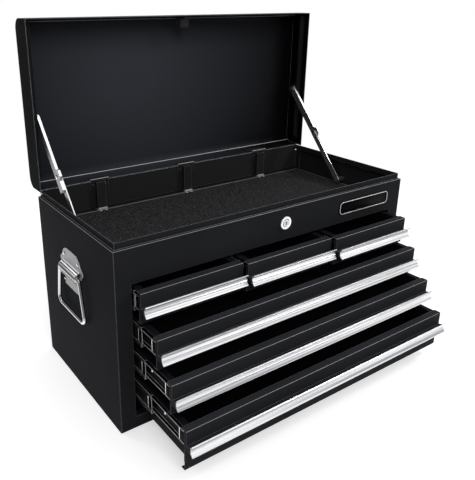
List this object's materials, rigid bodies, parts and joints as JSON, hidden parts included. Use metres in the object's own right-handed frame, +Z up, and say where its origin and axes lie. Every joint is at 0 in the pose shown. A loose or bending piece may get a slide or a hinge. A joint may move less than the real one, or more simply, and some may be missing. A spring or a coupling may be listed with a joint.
{
  "type": "machinist tool chest",
  "caption": "Sheet steel top chest with a lift-up lid over a till, stacked drawers on ball-bearing slides, extruded pulls, folding lid stays, keyed lock and side bail handles.",
  "frame": {"origin": "centre of the cabinet footprint, on the surface the chest stands on", "axes": "+X to the right along the drawers, -Y out of the front, +Z up"},
  "size_m": [0.6832, 0.5095, 0.6455],
  "materials": {
    "black_paint": "satin powder coat",
    "black_inside": "satin powder coat",
    "aluminium_pull": "satin anodised",
    "zinc_slide": "zinc plated",
    "bright_plate": "polished",
    "mat": "fine ribbed"
  },
  "bodies": {
    "cabinet": {"side_panel_left": "black_paint", "side_panel_right": "black_paint", "front_frame": "black_paint", "back_panel": "black_paint", "bottom_pan": "black_inside", "till_floor": "black_inside", "till_mat": "mat", "slide_posts": "black_inside", "slide_dividers": "black_inside", "cabinet_rails": "zinc_slide", "hinge_body_leaves": "black_paint", "hinge_pins": "bright_plate", "stay_body_studs": "bright_plate", "lock_bar_guides": "bright_plate", "lock_housing": "bright_plate", "handle_plates": "bright_plate"},
    "lid": {"lid_shell": "black_paint", "lid_stiffeners": "black_inside", "lid_striker": "bright_plate", "hinge_lid_leaves": "black_paint", "stay_lid_studs": "bright_plate"},
    "lock_bars": {"lock_bars": "black_inside"},
    "lock": {"lock_plug": "bright_plate", "lock_cam": "bright_plate"},
    "stay_lower_left": {"stay_lower_left": "bright_plate"},
    "stay_lower_right": {"stay_lower_right": "bright_plate"},
    "stay_upper_left": {"stay_upper_left": "bright_plate"},
    "stay_upper_right": {"stay_upper_right": "bright_plate"},
    "bail_left": {"handle_bail_left": "bright_plate"},
    "bail_right": {"handle_bail_right": "bright_plate"},
    "drawer_small_left": {"drawer_small_left_front": "black_paint", "drawer_small_left_pull": "aluminium_pull", "drawer_small_left_box": "black_inside", "drawer_small_left_rails": "zinc_slide"},
    "slide_small_left": {"drawer_small_left_middle_rails": "zinc_slide"},
    "drawer_small_middle": {"drawer_small_middle_front": "black_paint", "drawer_small_middle_pull": "aluminium_pull", "drawer_small_middle_box": "black_inside", "drawer_small_middle_rails": "zinc_slide"},
    "slide_small_middle": {"drawer_small_middle_middle_rails": "zinc_slide"},
    "drawer_small_right": {"drawer_small_right_front": "black_paint", "drawer_small_right_pull": "aluminium_pull", "drawer_small_right_box": "black_inside", "drawer_small_right_rails": "zinc_slide"},
    "slide_small_right": {"drawer_small_right_middle_rails": "zinc_slide"},
    "drawer_second": {"drawer_second_front": "black_paint", "drawer_second_pull": "aluminium_pull", "drawer_second_box": "black_inside", "drawer_second_rails": "zinc_slide"},
    "slide_second": {"drawer_second_middle_rails": "zinc_slide"},
    "drawer_third": {"drawer_third_front": "black_paint", "drawer_third_pull": "aluminium_pull", "drawer_third_box": "black_inside", "drawer_third_rails": "zinc_slide"},
    "slide_third": {"drawer_third_middle_rails": "zinc_slide"},
    "drawer_bottom": {"drawer_bottom_front": "black_paint", "drawer_bottom_pull": "aluminium_pull", "drawer_bottom_box": "black_inside", "drawer_bottom_rails": "zinc_slide"},
    "slide_bottom": {"drawer_bottom_middle_rails": "zinc_slide"}
  },
  "joints": [
    {"name": "lid_hinge", "type": "hinge", "parent": "cabinet", "child": "lid", "pos_m": [0, 0.151, 0.341], "axis": [1, 0, 0], "range_deg": [0, 90]},
    {"name": "stay_lower_left_pivot", "type": "hinge", "parent": "cabinet", "child": "stay_lower_left", "pos_m": [-0.314, 0, 0.29], "axis": [1, 0, 0], "range_deg": [-0.5, 97.64]},
    {"name": "stay_upper_left_pivot", "type": "hinge", "parent": "lid", "child": "stay_upper_left", "pos_m": [-0.314, 0.163, 0.472], "axis": [1, 0, 0], "range_deg": [-141.97, 0.5]},
    {"name": "stay_lower_right_pivot", "type": "hinge", "parent": "cabinet", "child": "stay_lower_right", "pos_m": [0.314, 0, 0.29], "axis": [1, 0, 0], "range_deg": [-0.5, 97.64]},
    {"name": "stay_upper_right_pivot", "type": "hinge", "parent": "lid", "child": "stay_upper_right", "pos_m": [0.314, 0.163, 0.472], "axis": [1, 0, 0], "range_deg": [-141.97, 0.5]},
    {"name": "lock_bars_slide", "type": "slide", "parent": "cabinet", "child": "lock_bars", "axis": [0, 0, -1], "range_m": [-0.0002, 0.0102]},
    {"name": "lock_turn", "type": "hinge", "parent": "cabinet", "child": "lock", "pos_m": [0.011, -0.1535, 0.3], "axis": [0, -1, 0], "range_deg": [0, 90]},
    {"name": "bail_left_swing", "type": "hinge", "parent": "cabinet", "child": "bail_left", "pos_m": [-0.336, 0.0095, 0.231], "axis": [0, 1, 0], "range_deg": [0, 95]},
    {"name": "bail_right_swing", "type": "hinge", "parent": "cabinet", "child": "bail_right", "pos_m": [0.336, 0.0095, 0.231], "axis": [0, -1, 0], "range_deg": [0, 95]},
    {"name": "drawer_small_left_slide", "type": "slide", "parent": "cabinet", "child": "drawer_small_left", "axis": [0, -1, 0], "range_m": [-0.0255, 0.2045]},
    {"name": "slide_small_left_travel", "type": "slide", "parent": "cabinet", "child": "slide_small_left", "axis": [0, -1, 0], "range_m": [-0.01325, 0.10275]},
    {"name": "drawer_small_middle_slide", "type": "slide", "parent": "cabinet", "child": "drawer_small_middle", "axis": [0, -1, 0], "range_m": [-0.034, 0.196]},
    {"name": "slide_small_middle_travel", "type": "slide", "parent": "cabinet", "child": "slide_small_middle", "axis": [0, -1, 0], "range_m": [-0.0175, 0.0985]},
    {"name": "drawer_small_right_slide", "type": "slide", "parent": "cabinet", "child": "drawer_small_right", "axis": [0, -1, 0], "range_m": [-0.0425, 0.1875]},
    {"name": "slide_small_right_travel", "type": "slide", "parent": "cabinet", "child": "slide_small_right", "axis": [0, -1, 0], "range_m": [-0.02175, 0.09425]},
    {"name": "drawer_second_slide", "type": "slide", "parent": "cabinet", "child": "drawer_second", "axis": [0, -1, 0], "range_m": [-0.0735, 0.1565]},
    {"name": "slide_second_travel", "type": "slide", "parent": "cabinet", "child": "slide_second", "axis": [0, -1, 0], "range_m": [-0.03725, 0.07875]},
    {"name": "drawer_third_slide", "type": "slide", "parent": "cabinet", "child": "drawer_third", "axis": [0, -1, 0], "range_m": [-0.1115, 0.1185]},
    {"name": "slide_third_travel", "type": "slide", "parent": "cabinet", "child": "slide_third", "axis": [0, -1, 0], "range_m": [-0.05625, 0.05975]},
    {"name": "drawer_bottom_slide", "type": "slide", "parent": "cabinet", "child": "drawer_bottom", "axis": [0, -1, 0], "range_m": [-0.149, 0.081]},
    {"name": "slide_bottom_travel", "type": "slide", "parent": "cabinet", "child": "slide_bottom", "axis": [0, -1, 0], "range_m": [-0.075, 0.041]}
  ],
  "couplings": [
    {"joint": "stay_lower_left_pivot", "follows": "lid_hinge", "ratio": 1.0794},
    {"joint": "stay_upper_left_pivot", "follows": "lid_hinge", "ratio": -1.5719},
    {"joint": "stay_lower_right_pivot", "follows": "lid_hinge", "ratio": 1.0794},
    {"joint": "stay_upper_right_pivot", "follows": "lid_hinge", "ratio": -1.5719},
    {"joint": "lock_bars_slide", "follows": "lid_hinge", "m_per_rad": 0.0063662},
    {"joint": "slide_small_left_travel", "follows": "drawer_small_left_slide", "ratio": 0.5},
    {"joint": "slide_small_middle_travel", "follows": "drawer_small_middle_slide", "ratio": 0.5},
    {"joint": "slide_small_right_travel", "follows": "drawer_small_right_slide", "ratio": 0.5},
    {"joint": "slide_second_travel", "follows": "drawer_second_slide", "ratio": 0.5},
    {"joint": "slide_third_travel", "follows": "drawer_third_slide", "ratio": 0.5},
    {"joint": "slide_bottom_travel", "follows": "drawer_bottom_slide", "ratio": 0.5}
  ]
}
